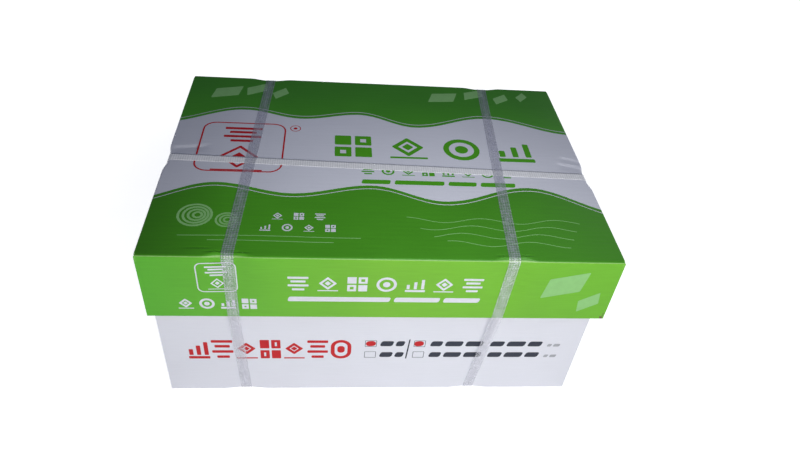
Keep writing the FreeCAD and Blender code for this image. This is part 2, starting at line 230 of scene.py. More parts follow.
def mesh_object(name, grids, materials, merge=1e-6, outward=None, attributes=("wear",)):
    """One mesh from several grids. A grid is (points, face materials, values of the attributes, wrap).

    outward is a direction that the face furthest along it has to look in.
    """
    points, faces, indices, values, start = [], [], [], [], 0
    for grid_points, face_materials, grid_values, wrap in grids:
        rows, columns = grid_points.shape[:2]
        quads = grid_faces(rows, columns, wrap)
        points.append(grid_points.reshape(-1, 3))
        faces.append(quads + start)
        indices.append(np.broadcast_to(face_materials, (rows - 1, columns if wrap else columns - 1)).ravel())
        size = (rows, columns, len(attributes)) if len(attributes) > 1 else (rows, columns)
        values.append(np.broadcast_to(grid_values, size).reshape(rows * columns, len(attributes)))
        start += rows * columns
    mesh = bpy.data.meshes.new(name)
    mesh.from_pydata(np.concatenate(points).tolist(), [], np.concatenate(faces).tolist())
    mesh.polygons.foreach_set("material_index", np.concatenate(indices).astype(np.int32))
    for attribute, column in zip(attributes, np.concatenate(values).astype(np.float32).T):
        mesh.attributes.new(attribute, "FLOAT", "POINT").data.foreach_set("value", np.ascontiguousarray(column))
    for material in materials:
        mesh.materials.append(material)
    work = bmesh.new()
    work.from_mesh(mesh)
    bmesh.ops.remove_doubles(work, verts=work.verts, dist=merge)
    if outward:
        bmesh.ops.recalc_face_normals(work, faces=work.faces)
        outermost = max(work.faces, key=lambda face: face.calc_center_median().dot(Vector(outward)))
        if outermost.normal.dot(Vector(outward)) < 0.0:
            bmesh.ops.reverse_faces(work, faces=work.faces)
    work.to_mesh(mesh)
    work.free()
    mesh.shade_smooth()
    piece = bpy.data.objects.new(name, mesh)
    bpy.context.scene.collection.objects.link(piece)
    return piece


def thicken(piece, thickness, material_offset, sharp):
    """Gives a sheet its thickness on its inner side and keeps the edges sharper than the given angle."""
    solid = piece.modifiers.new("thickness", "SOLIDIFY")
    solid.thickness = thickness
    solid.offset = -1.0
    solid.material_offset = material_offset
    solid.material_offset_rim = material_offset
    solid.use_quality_normals = True
    seen = piece.evaluated_get(bpy.context.evaluated_depsgraph_get())
    mesh = bpy.data.meshes.new_from_object(seen)
    piece.modifiers.clear()
    old = piece.data
    piece.data = mesh
    bpy.data.meshes.remove(old)
    mesh.name = piece.name
    mesh.set_sharp_from_angle(angle=sharp)
    return piece


def place(piece, slot, *nodes):
    """Puts a finished piece on the carton's body, in place of the nodes it stands for."""
    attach(piece, BODY)
    if nodes:
        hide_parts(*nodes)


# Folded board


class FoldedBoard:
    """A board folded up into a shallow tray, with its panel up (the lid) or down (the tray)."""

    def __init__(self, low, high, rise, inset, radius, spots):
        sizes = bpy.context.scene.carton_sizes
        self.middle = (low.x + high.x) / 2.0
        self.half_x = (high.x - low.x) / 2.0
        self.half_y = (high.y - low.y) / 2.0
        self.depth = high.z - low.z
        self.face = high.z if rise > 0 else low.z
        self.rise = rise
        self.chips = 0.8 if rise < 0.0 else 0.0
        self.inset = inset
        self.radius = radius
        self.spots = spots
        self.fold = sizes.fold
        self.flank = sizes.flank
        self.board = sizes.board
        self.edge_x = self.half_x - sizes.fold
        self.edge_y = self.half_y - sizes.board - sizes.fold

    def columns(self, fine, more, reach):
        """Places of the columns along the panel, close together near the straps and the other places."""
        near = [at for edge in ("near", "far") for spot in self.spots[edge] for at in spot]
        return spread(-self.edge_x, self.edge_x, 0.006, fine, near + more, reach)

    def share(self, along, edge, wall):
        """1 where a strap crosses a fold, falling smoothly to 0 over its flank."""
        half = bpy.context.scene.strap_sizes.width / 2.0
        share = np.zeros(np.broadcast(along, wall).shape)
        for at_fold, at_rim in self.spots[edge]:
            away = abs(along - (at_fold + (at_rim - at_fold) * wall)) - half
            share = np.maximum(share, 1.0 - smooth_step(away / self.flank))
        return share

    def across(self, t, half, along, edge, start=0.0):
        """Distance from the middle and depth below the panel, for t over one fold.

        t from 0 to 1 runs over the panel from start, 1 to 2 round the fold and 2 to 3 down the wall.
        """
        panel = np.clip(t, 0.0, 1.0)
        turn = np.clip(t - 1.0, 0.0, 1.0) * math.pi / 2.0
        wall = np.clip(t - 2.0, 0.0, 1.0)
        share = self.share(along, edge, wall)
        fold_share = self.share(along, edge, 0.0 * wall)
        radius = self.fold + (self.radius - self.fold) * fold_share
        inset = self.inset * share
        out = start + (half - inset - radius - start) * panel + radius * np.sin(turn) + inset * wall
        down = radius * (1.0 - np.cos(turn)) + (self.depth - radius) * wall
        return out, down

    def pulled(self, value, edge, share, room):
        """Places across the panel, drawn in near its edge to leave room for the wider fold under a strap."""
        near_edge = smooth_step((abs(value) - edge + 0.04) / 0.04)
        return value - np.sign(value) * near_edge * max(0.0, self.inset + self.radius - room) * share

    def pulled_x(self, x, y):
        """Places along the panel that leave room for the end folds."""
        share = np.where(x < 0.0, self.share(y, "left", 0.0 * y), self.share(y, "right", 0.0 * y))
        return self.pulled(x, self.edge_x, share, self.fold)

    def pulled_y(self, x, y):
        """Places across the panel that leave room for the front and back folds."""
        share = np.where(y < 0.0, self.share(x, "near", 0.0 * x), self.share(x, "far", 0.0 * x))
        return self.pulled(y, self.edge_y, share, self.half_y - self.edge_y - 0.001)

    def point(self, x, y, down, dip):
        """Points from places across the panel and a depth below it."""
        sunk = down + dip(x, y) * (1.0 - np.clip(down / self.depth, 0.0, 1.0))
        x, y, z = np.broadcast_arrays(x + self.middle, y, self.face - self.rise * sunk)
        return np.stack([x, y, z], axis=-1)


def flat(x, y):
    """No dip."""
    return 0.0 * (x + y)


def fold_steps(turns, walls):
    """Values of t round a fold and down its wall."""
    return np.concatenate([np.linspace(1.0, 2.0, turns + 1), np.linspace(2.0, 3.0, walls + 1)[1:]])


def board_grids(shell, columns, bounds, dip, wall_rows, sides):
    """The whole blank as grids: the panel with its end walls, two side walls, four corner folds and tabs.

    bounds is a list of (function of x, number of rows, material) from front to back: each gives a line
    across the panel, the rows before it and the material of those rows. The lines run on down the end
    walls. sides are the materials of the front and the back wall.
    """
    sizes = bpy.context.scene.carton_sizes

    def panel_rows(x_row):
        low, high = 0.0 * x_row - shell.edge_y, 0.0 * x_row + shell.edge_y
        lines = [low] + [f(x_row) for f, _, _ in bounds] + [high]
        rows, materials = [], []
        counts = [(n, m) for _, n, m in bounds] + [bounds[-1][1:]]
        for (start, end), (count, material) in zip(zip(lines, lines[1:]), counts):
            share = np.linspace(0.0, 1.0, count + 1)[:-1, None]
            rows.append(start + (end - start) * share)
            materials += [material] * count
        rows.append(high)
        return np.concatenate(rows), np.array(materials)[:, None]

    # A band round each fold: partly rubbed wear, partly a painted highlight along the fold line
    def fold_wear_and_highlight(t):
        return np.exp(-((t - 1.62) / 0.17) ** 2)

    x = columns[None, :]
    y, rows = panel_rows(x)
    grids = [(shell.point(shell.pulled_x(x, y), shell.pulled_y(x, y), 0.0 * y, dip), rows, 0.0 * y, False)]

    t = fold_steps(8, wall_rows)[None, :]
    lift = np.sin(np.clip(t - 1.0, 0.0, 1.0) * math.pi / 2.0)
    wall = np.clip(t - 2.0, 0.0, 1.0)
    phi = np.linspace(0.0, math.pi / 2.0, 7)[:, None]
    u = np.array([[0.0], [0.06], [0.5], [1.0]])
    under = 0.00003 * np.clip(u / 0.06, 0.0, 1.0)
    for side_x, name in ((-1.0, "left"), (1.0, "right")):
        y_end, _ = panel_rows(side_x * (shell.edge_x + shell.fold * np.clip(t - 1.0, 0.0, 1.0)))
        out, down = shell.across(t, shell.half_x, y_end, name)
        grids.append((shell.point(side_x * out, y_end, down, dip), rows, fold_wear_and_highlight(t) + 0.0 * y_end, False))
        for side_y, material in ((-1.0, sides[0]), (1.0, sides[1])):
            out, down = shell.across(t, shell.half_x, side_y * shell.edge_y, name)
            grids.append((shell.point(
                side_x * (out - shell.fold * (1.0 - np.cos(phi)) * lift),
                side_y * (shell.edge_y + shell.fold * np.sin(phi) * lift), down + 0.0 * phi, dip,
            ), material, fold_wear_and_highlight(t) + 0.0 * phi, False))
            on_wall = t[0] >= 2.0
            taper = np.clip(u / 0.06, 0.0, 1.0) * sizes.tab_margin * (1.0 + u)
            tab_down = down[:, on_wall] + taper * (1.0 - 2.0 * wall[:, on_wall])
            grids.append((shell.point(
                side_x * (shell.half_x - shell.fold - (sizes.tab - shell.fold) * u) + 0.0 * tab_down,
                side_y * (shell.half_y - shell.board - under), tab_down, flat,
            ), material, 0.0, False))

    steps = np.concatenate([[0.0, 0.5], fold_steps(8, wall_rows)])[:, None]
    corner = smooth_step((abs(x) - shell.edge_x + 4.0 * shell.fold) / (4.0 * shell.fold))
    for side, name, material in ((-1.0, "near", sides[0]), (1.0, "far", sides[1])):
        start = abs(shell.pulled_y(x, side * shell.edge_y + 0.0 * x))
        out, down = shell.across(steps, shell.half_y, x, name, start)
        opened = x + np.sign(x) * (shell.fold - sizes.setback) * corner * smooth_step(steps - 1.0)
        scuffed = corner ** 3 * np.exp(-((steps - 2.03) / 0.05) ** 2)
        chipped = shell.chips * smooth_step((abs(x) - shell.edge_x + 0.016) / 0.010) * fold_wear_and_highlight(steps)
        # The fold band is partly wear and partly a painted highlight; scuffs and chips are wear
        wear = np.maximum(fold_wear_and_highlight(steps), scuffed) + chipped
        panel_ink = bounds[0][2] if side < 0.0 else bounds[-1][2]
        inks = np.where(steps[:-1] < 1.6, panel_ink, material)
        grids.append((shell.point(opened, side * out, down, dip), inks, wear, False))
    return grids


def lid_shell():
    """The lid, with the straps' places on its four folds."""
    sizes, straps = bpy.context.scene.carton_sizes, bpy.context.scene.strap_sizes
    cross = (straps.cross_left, straps.cross_right)
    spots = {
        "near": [(s[NEAR_TOP], s[NEAR_RIM]) for s in cross],
        "far": [(s[FAR_TOP], s[FAR_RIM]) for s in cross],
        "left": [(straps.long[NEAR_TOP], straps.long[NEAR_RIM])],
        "right": [(straps.long[FAR_TOP], straps.long[FAR_RIM])],
    }
    return FoldedBoard(LID_LOW, LID_HIGH, 1.0, sizes.lid_inset, sizes.lid_radius, spots)


def tray_shell():
    """The tray, with the straps' places on its four bottom folds, counted from its own middle."""
    sizes, straps = bpy.context.scene.carton_sizes, bpy.context.scene.strap_sizes
    middle = (TRAY_LOW.x + TRAY_HIGH.x) / 2.0
    cross = (straps.cross_left, straps.cross_right)
    spots = {
        "near": [(s[NEAR_FOOT] - middle, s[NEAR_RIM] - middle) for s in cross],
        "far": [(s[FAR_FOOT] - middle, s[FAR_RIM] - middle) for s in cross],
        "left": [(straps.long[NEAR_FOOT], straps.long[NEAR_RIM])],
        "right": [(straps.long[FAR_FOOT], straps.long[FAR_RIM])],
    }
    return FoldedBoard(TRAY_LOW, TRAY_HIGH, -1.0, 0.0, sizes.tray_radius, spots)


# Crests and troughs of the two edges of the white field, as (x, y)
UPPER_WAVE = ((-0.245, 0.052), (-0.152, 0.085), (-0.088, 0.070), (-0.022, 0.083), (0.042, 0.060), (0.128, 0.085), (0.228, 0.056))
LOWER_WAVE = ((-0.250, -0.084), (-0.166, -0.053), (-0.092, -0.068), (-0.012, -0.052), (0.061, -0.075), (0.152, -0.049), (0.245, -0.088))
STRIPE_GAP = 0.0048
STRIPE_WIDTH = 0.0010


def level(y):
    """A straight line across the panel at y."""
    return lambda x: y + 0.0 * x


def lid_bounds():
    """Lines across the lid between its inks, from front to back, with rows and material of each field."""
    def lower(shift):
        return lambda x: eased(x, LOWER_WAVE) - shift

    def upper(shift):
        return lambda x: eased(x, UPPER_WAVE) + shift

    return [
        (level(-0.1440), 14, GREEN),
        (lower(STRIPE_GAP + STRIPE_WIDTH), 24, GREEN),
        (lower(STRIPE_GAP), 1, WHITE),
        (lower(0.0), 2, GREEN),
        (upper(0.0), 64, WHITE),
        (upper(STRIPE_GAP), 2, BACK),
        (upper(STRIPE_GAP + STRIPE_WIDTH), 1, WHITE),
        (level(0.148), 24, BACK),
    ]


def crease(x, y, start, end, width, depth, flank):
    """A crease from start to end: sharp on one side and falling off over flank on the other."""
    (x0, y0), (x1, y1) = start, end
    run = math.hypot(x1 - x0, y1 - y0)
    along = ((x - x0) * (x1 - x0) + (y - y0) * (y1 - y0)) / run
    beside = ((y - y0) * (x1 - x0) - (x - x0) * (y1 - y0)) / run
    ends = smooth_step(along / (0.25 * run)) * smooth_step((run - along) / (0.25 * run))
    side = np.where(beside > 0.0, np.exp(-(beside / width) ** 2), np.exp(-(beside / flank) ** 2))
    return depth * ends * side


def bulge(x, y, at, width, back, height):
    """A swelling of the panel beside a strap, close to the front fold.

    It rises steeply out of a valley at its back and slopes away to the fold. It is a bell along x.
    """
    fold_at = -0.1581
    slope = np.clip((y - fold_at) / (back - fold_at), 0.0, 1.0)
    rear = 1.0 - smooth_step((y - back) / 0.0009)
    valley = 1.1 * np.exp(-((y - back - 0.0016) / 0.0010) ** 2)
    return height * np.exp(-((x - at) / width) ** 2) * (valley - slope * rear)


def lid_dip(x, y):
    """How far the lid's panel sags below its plane.

    There are creases at the long strap's ends and swellings beside the cross straps at the front fold.
    """
    rolled = np.where(y < -0.1581, 0.0, 1.0)
    swollen = bulge(x, y, -0.1545, 0.0055, -0.1545, 0.00085) + bulge(x, y, -0.1310, 0.0045, -0.1550, 0.00085)
    swollen = swollen + bulge(x, y, 0.1060, 0.0050, -0.1540, 0.0006) + bulge(x, y, 0.1275, 0.0050, -0.1535, 0.0007)
    swollen = swollen + bulge(x, y, -0.1680, 0.0100, -0.1500, 0.0004)
    dip = crease(x, y, (-0.224, 0.004), (-0.180, 0.011), 0.0010, 0.0009, 0.009)
    dip = dip + crease(x, y, (0.228, -0.012), (0.192, -0.002), 0.009, 0.0009, 0.0010)
    dip = dip + crease(x, y, (0.226, 0.000), (0.198, 0.010), 0.007, 0.0007, 0.0009)
    return dip + swollen * rolled


def tray_dip(x, y):
    """The channels that the straps press into the tray's underside."""
    straps, sizes = bpy.context.scene.strap_sizes, bpy.context.scene.carton_sizes
    middle = (TRAY_LOW.x + TRAY_HIGH.x) / 2.0
    shell_x = (TRAY_HIGH.x - TRAY_LOW.x) / 2.0
    shell_y = (TRAY_HIGH.y - TRAY_LOW.y) / 2.0
    half = straps.width / 2.0 + 0.0006

    def channel(sideways, line_at):
        return 1.0 - smooth_step((abs(sideways - line_at) - half) / sizes.channel_flank)

    dip = 0.0 * (x + y)
    share_y = (y / shell_y + 1.0) / 2.0
    for s in (straps.cross_left, straps.cross_right):
        dip = np.maximum(dip, channel(x + middle, s[NEAR_FOOT] + (s[FAR_FOOT] - s[NEAR_FOOT]) * share_y))
    share_x = (x / shell_x + 1.0) / 2.0
    s = straps.long
    along = channel(y, s[NEAR_FOOT] + (s[FAR_FOOT] - s[NEAR_FOOT]) * share_x)
    return (np.maximum(dip, along) + dip * along) * (straps.thickness + 0.00005)


# Straps


def run(start, end, step):
    """A straight stretch from (p, z, q) to (p, z, q)."""
    start, end = np.array(start), np.array(end)
    count = max(2, int(np.linalg.norm(end - start) / step) + 1)
    return start + (end - start) * np.linspace(0.0, 1.0, count)[:, None]


def turn(p, z, radius, start, q):
    """A quarter turn about (p, z) from the angle start, at the sideways place q."""
    angle = start + np.linspace(0.0, math.pi / 2.0, 17)
    return np.stack([p + radius * np.cos(angle), z + radius * np.sin(angle), q + 0.0 * angle], axis=-1)


def strap_route(s, half_lid, near_foot, far_foot, weld, over, hops):
    """The route of a strap's inner face as (p, z, q) points, from one welded end round to the other."""
    sizes, straps = bpy.context.scene.carton_sizes, bpy.context.scene.strap_sizes
    step = straps.emboss_pitch / 6.0
    t, gap = straps.thickness, straps.clearance
    top = LID_HIGH.z + gap
    rim = LID_LOW.z
    top_radius = sizes.lid_radius + gap
    foot_radius = sizes.tray_radius - gap
    near_top = -half_lid + sizes.lid_inset + sizes.lid_radius
    corner = half_lid + gap
    near_low, far_low = near_foot + sizes.tray_radius, far_foot - sizes.tray_radius

    def top_q(p):
        return s[NEAR_TOP] + (s[FAR_TOP] - s[NEAR_TOP]) * (p - near_top) / (-2.0 * near_top)

    def low_q(p):
        return s[NEAR_FOOT] + (s[FAR_FOOT] - s[NEAR_FOOT]) * (p - near_low) / (far_low - near_low)

    def low(p, layer):
        return (p, layer * t + 0.00002, low_q(p))

    start, end = weld - straps.weld / 2.0, weld + straps.weld / 2.0
    tail = [low(start, 2), low(end, 2), low(end + straps.ramp, 1), low(far_low, 1)]
    head = [low(near_low, 1), low(end, 1)]
    for p in hops:
        bump = [low(p - straps.reach - straps.ramp, 1), low(p - straps.reach, 2)]
        bump += [low(p + straps.reach, 2), low(p + straps.reach + straps.ramp, 1)]
        if p > end:
            tail += bump
        else:
            head += bump
    tail.sort()
    head.sort()
    crest = [(-near_top, top, top_q(-near_top)), (near_top, top, top_q(near_top))]
    for p in over:
        crest += [(p + d, top + t, top_q(p + d)) for d in (-straps.reach, straps.reach)]
    crest.sort(reverse=True)
    foot_z = t + sizes.tray_radius
    wall_top = LID_HIGH.z - sizes.lid_radius
    parts = [run(a, b, step) for a, b in zip(tail, tail[1:])]
    parts.append(turn(far_low, foot_z, sizes.tray_radius, -math.pi / 2.0, s[FAR_FOOT]))
    parts.append(run((far_foot, foot_z, s[FAR_FOOT]), (corner, rim, s[FAR_RIM]), step))
    parts.append(run((corner, rim, s[FAR_RIM]), (corner - sizes.lid_inset, wall_top, s[FAR_TOP]), step))
    parts.append(turn(-near_top, wall_top, top_radius, 0.0, s[FAR_TOP]))
    parts += [run(a, b, step) for a, b in zip(crest, crest[1:])]
    parts.append(turn(near_top, wall_top, top_radius, math.pi / 2.0, s[NEAR_TOP]))
    parts.append(run((sizes.lid_inset - corner, wall_top, s[NEAR_TOP]), (-corner, rim, s[NEAR_RIM]), step))
    parts.append(run((-corner, rim, s[NEAR_RIM]), (near_foot, foot_z, s[NEAR_FOOT]), step))
    parts.append(turn(near_low, foot_z, sizes.tray_radius, math.pi, s[NEAR_FOOT]))
    parts += [run(a, b, step) for a, b in zip(head, head[1:])]
    route = np.concatenate(parts)
    kept = np.concatenate([[True], np.linalg.norm(np.diff(route, axis=0), axis=1) > 1e-6])
    return route[kept]


def strap_points(route, swap):
    """The strap's skin and the values of its two attributes: an embossed section carried along the route.

    The section runs across the outer face, round the edge and back across the inner face. The outer
    face carries two crossing families of ribs, so its height is a product of two cosines.
    """
    straps = bpy.context.scene.strap_sizes
    across = np.concatenate([np.linspace(-1.0, 1.0, OUTER), np.linspace(1.0, -1.0, INNER)]) * straps.width / 2.0
    outer = np.concatenate([np.ones(OUTER), np.zeros(INNER)])
    outer[[0, OUTER - 1]] = 0.55
    tangent = np.gradient(route[:, :2], axis=0)
    tangent /= np.linalg.norm(tangent, axis=1)[:, None]
    normal = np.stack([tangent[:, 1], -tangent[:, 0]], axis=-1)
    travelled = np.concatenate([[0.0], np.cumsum(np.linalg.norm(np.diff(route, axis=0), axis=1))])[:, None]
    wave = math.pi / straps.emboss_pitch
    ribs = np.cos(wave * (travelled + across)) * np.cos(wave * (travelled - across))
    border = smooth_step((straps.width / 2.0 - abs(across)) / 0.0012)
    height = straps.thickness - straps.clearance - straps.emboss * border * (0.5 - 0.5 * ribs)
    height = outer * height
    p = route[:, :1] + normal[:, :1] * height
    z = route[:, 1:2] + normal[:, 1:] * height
    q = route[:, 2:] + across[None, :] + 0.0 * height
    sideways = 2.0 * across / straps.width + 0.0 * ribs
    points = np.stack([p, q, z] if swap else [q, p, z], axis=-1)
    return points, np.stack([sideways, 0.5 + 0.5 * ribs], axis=-1)


def end_caps(points):
    """The two closed ends of a strap as small grids between its outer and inner face."""
    caps = []
    for section, order in ((points[0], 1), (points[-1], -1)):
        outer = section[:OUTER]
        inner = section[OUTER:][::-1]
        at = np.linspace(0.0, INNER - 1.0, OUTER)
        spread_inner = np.stack([np.interp(at, range(INNER), inner[:, k]) for k in range(3)], axis=-1)
        caps.append(np.stack([outer, spread_inner][::order]))
    return caps


# Print


def outline(half_x, half_y, corner):
    """A rounded rectangle as a closed loop: a quarter circle at each corner, joined by straight sides."""
    corner = min(corner, half_x, half_y)
    quarter = np.linspace(0.0, math.pi / 2.0, 7)
    angle = np.concatenate([quarter + k * math.pi / 2.0 for k in range(4)])
    side_x = np.repeat([1.0, -1.0, -1.0, 1.0], 7)
    side_y = np.repeat([1.0, 1.0, -1.0, -1.0], 7)
    return np.stack([
        side_x * (half_x - corner) + corner * np.cos(angle),
        side_y * (half_y - corner) + corner * np.sin(angle),
    ], axis=-1)


def shape(x, y, half_x, half_y, corner, stroke=0.0, angle=0.0, slant=0.0):
    """A printed shape on a grid of two parameters: round its outline, and inwards to its middle or stroke."""
    outer = outline(half_x, half_y, corner)
    if stroke:
        inner = outline(half_x - stroke, half_y - stroke, max(corner - stroke, 1e-5))
        rings = np.stack([outer, inner])
    else:
        spine = outer * np.array([max(half_x - half_y, 0.0) / half_x, max(half_y - half_x, 0.0) / half_y])
        rings = np.stack([outer, (outer + spine) / 2.0, spine])
    rings = rings @ np.array([[1.0, 0.0], [slant, 1.0]])
    c, s = math.cos(angle), math.sin(angle)
    return rings @ np.array([[c, s], [-s, c]]) + np.array([x, y]), True


def ribbon(x0, x1, y, swing, wavelength, phase, width):
    """A printed line that follows a sine: across its width and along x."""
    x = np.linspace(x0, x1, 120)
    middle = y + swing * np.sin(2.0 * math.pi * x / wavelength + phase)
    return np.stack([
        np.stack([x, middle - width / 2.0], axis=-1), np.stack([x, middle + width / 2.0], axis=-1),
    ]), False


def words(x0, x1, y, height, lengths, gap, slant=0.0):
    """A row of rounded bars in place of words: their lengths are shares of the row."""
    room = (x1 - x0) - gap * (len(lengths) - 1)
    shapes, x = [], x0
    for share in lengths:
        half = room * share / sum(lengths) / 2.0
        shapes.append(shape(x + half, y, half, height / 2.0, height * 0.3, slant=slant))
        x += 2.0 * half + gap
    return shapes


def sheet(x, y, size, angle):
    """A blank sheet that leans over."""
    return shape(x, y, 0.42 * size, 0.26 * size, 0.03 * size, angle=angle, slant=0.45)


def flying_sheets(x, y, size, count, angle, step):
    """Blank sheets that drift one behind the other, each a little smaller."""
    shapes = []
    for k in range(count):
        shapes.append(sheet(x, y, size * 0.80 ** k, angle + 0.25 * k))
        x += step * 0.84 ** k
        y += 0.25 * step * 0.84 ** k * (-1.0) ** k
    return shapes


def block(kind, x, y, half_x, half_y, stroke):
    """A bold sign of a few bars and frames: kite, stack, ring, tiles or steps."""
    half = stroke / 2.0
    if kind == "kite":
        turned = math.radians(45.0)
        wide = 0.62 * min(half_x, half_y)
        return [
            shape(x, y + 0.08 * half_y, wide, wide, 0.3 * stroke, stroke=0.8 * stroke, angle=turned),
            shape(x, y + 0.08 * half_y, 0.36 * wide, 0.36 * wide, 0.2 * stroke, angle=turned),
            shape(x, y - half_y + half * 0.5, half_x, half * 0.5, half * 0.2),
        ]
    if kind == "stack":
        rows = ((0.94, 1.0), (0.36, 0.72), (-0.28, 1.0), (-0.92, 0.60))
        return [shape(x, y + k * (half_y - half), half_x * wide, half, half * 0.5) for k, wide in rows]
    if kind == "ring":
        return [
            shape(x, y, half_x, half_y, min(half_x, half_y), stroke=stroke),
            shape(x, y, half_x * 0.36, half_y * 0.36, min(half_x, half_y) * 0.36),
        ]
    if kind == "tiles":
        shapes = []
        for a in (-1.0, 1.0):
            for b in (-1.0, 1.0):
                hollow = stroke * 0.9 if a * b > 0.0 else 0.0
                shapes.append(shape(
                    x + a * half_x * 0.54, y + b * half_y * 0.54, half_x * 0.44, half_y * 0.44, 0.2 * stroke, hollow,
                ))
        return shapes
    shapes = [shape(x, y - half_y + half, half_x, half, half * 0.4)]
    for a, tall in ((-0.72, 0.42), (0.0, 0.68), (0.72, 0.92)):
        high = (half_y - stroke) * tall
        shapes.append(shape(x + a * half_x, y - half_y + 1.45 * stroke + high, half * 1.05, high, half * 0.4))
    return shapes


def blocks(x0, x1, y, height, kinds, stroke, width=1.0):
    """A row of bold signs at even places from x0 to x1."""
    half = height / 2.0
    places = np.linspace(x0 + half * width, x1 - half * width, len(kinds))
    return [piece for x, kind in zip(places, kinds) for piece in block(kind, x, y, half * width, half, stroke)]


def growth_rings(x, y, radius, count, stroke):
    """Concentric rings, like those of a cut log."""
    shapes = []
    for k in range(count):
        r = radius * (1.0 - k / (count + 0.35))
        shapes.append(shape(x + 0.05 * radius * k, y, r, r, r, stroke=stroke))
    return shapes


def print_object(name, groups, materials, surface):
    """Printed shapes as thin closed films on a panel. surface turns (u, v) into points and outward normals."""
    film = 0.00005
    grids = []
    for material, shapes in enumerate(groups):
        for points, wrap in shapes:
            top, normal = surface(points[..., 0], points[..., 1])
            grids.append((top + normal * film, material, 0.0, wrap))
    piece = mesh_object(name, grids, materials, merge=1e-7)
    work = bmesh.new()
    work.from_mesh(piece.data)
    bmesh.ops.dissolve_degenerate(work, edges=work.edges, dist=1e-7)
    bmesh.ops.recalc_face_normals(work, faces=work.faces)
    probe, wanted = surface(np.array([[0.0]]), np.array([[0.0]]))
    facing = [f for f in work.faces if f.normal.dot(Vector(wanted.reshape(-1, 3)[0])) < 0.0]
    bmesh.ops.reverse_faces(work, faces=facing)
    work.to_mesh(piece.data)
    work.free()
    return thicken(piece, film * 0.8, 0, math.radians(35.0))


def lid_top_surface(x, y):
    """Points and normals of the lid's panel."""
    z = LID_HIGH.z - lid_dip(x, y)
    return np.stack([x, y, z], axis=-1), np.stack([0.0 * x, 0.0 * x, 0.0 * x + 1.0], axis=-1)


def wall_surface(shell):
    """Points and normals of a shell's front wall, as a function of x and z."""
    def surface(x, z):
        down = abs(z - shell.face)
        share = shell.share(x - shell.middle, "near", 0.0 * x)
        wall = np.clip((down - shell.fold) / (shell.depth - shell.fold), 0.0, 1.0)
        y = -shell.half_y + shell.inset * share * (1.0 - wall)
        return np.stack([x, y, z], axis=-1), np.stack([0.0 * x, 0.0 * x - 1.0, 0.0 * x], axis=-1)
    return surface


def lid_top_shapes():
    """What is printed on the lid's panel, ink by ink, at places in x and y."""
    red = [shape(-0.149, 0.011, 0.045, 0.046, 0.014, stroke=0.0018)]
    red += block("stack", -0.150, 0.033, 0.020, 0.0150, 0.0042)
    red += block("kite", -0.150, -0.010, 0.026, 0.0230, 0.0040)
    red += block("ring", -0.094, 0.049, 0.0060, 0.0060, 0.0009)
    small_row = ("stack", "ring", "kite", "tiles", "steps", "kite", "ring", "stack")
    green = blocks(-0.0505, 0.171, 0.018, 0.041, ("tiles", "kite", "ring", "steps"), 0.0064)
    green += blocks(-0.022, 0.140, -0.0265, 0.0135, small_row, 0.0021)
    green += words(-0.022, 0.139, -0.0455, 0.0070, (4, 7, 4, 5), 0.0045, 0.2)
    white = blocks(-0.108, -0.058, -0.1030, 0.0100, ("kite", "tiles", "stack"), 0.0015)
    white += blocks(-0.118, -0.048, -0.1195, 0.0100, ("steps", "ring", "kite", "tiles"), 0.0015)
    pale = growth_rings(-0.179, -0.104, 0.0165, 4, 0.0024) + growth_rings(-0.1495, -0.110, 0.0105, 3, 0.0020)
    pale += flying_sheets(-0.178, 0.124, 0.038, 3, 0.25, 0.034)
    pale += flying_sheets(0.082, 0.131, 0.038, 4, 0.10, 0.040)
    pale.append(ribbon(-0.190, -0.025, -0.1320, 0.0006, 0.16, 0.0, 0.0008))
    pale.append(ribbon(-0.163, -0.050, -0.1385, 0.0006, 0.16, 0.6, 0.0008))
    for k in range(4):
        start, end, y = 0.020 + 0.012 * k, 0.192 - 0.006 * k, -0.104 - 0.011 * k
        pale.append(ribbon(start, end, y, 0.0035, 0.075, 0.9 * k, 0.0007))
    return {"red": red, "green": green, "white": white, "pale_green": pale}


def lid_front_shapes():
    """What is printed on the lid's front wall, at places in x and z, and the chipped corner of the board."""
    white = [shape(-0.154, 0.1755, 0.018, 0.0185, 0.006, stroke=0.0011)]
    white += block("stack", -0.154, 0.1835, 0.0095, 0.0065, 0.0019)
    white += block("kite", -0.154, 0.1675, 0.0085, 0.0070, 0.0016)
    white += blocks(-0.192, -0.120, 0.1415, 0.0140, ("kite", "ring", "steps", "tiles"), 0.0024)
    row = ("stack", "kite", "tiles", "ring", "steps", "kite", "stack")
    white += blocks(-0.091, 0.091, 0.1695, 0.0190, row, 0.0027)
    white += words(-0.091, 0.091, 0.1490, 0.0062, (11, 5, 4), 0.004, 0.25)
    pale = [sheet(0.171, 0.171, 0.046, 0.25), sheet(0.200, 0.148, 0.027, 0.55)]
    chips = [
        shape(0.2192, 0.1258, 0.0014, 0.0016, 0.0006, slant=-0.4),
        shape(0.2202, 0.1300, 0.0003, 0.0030, 0.0003),
    ]
    return {"white": white, "pale_green": pale, "bare": chips}


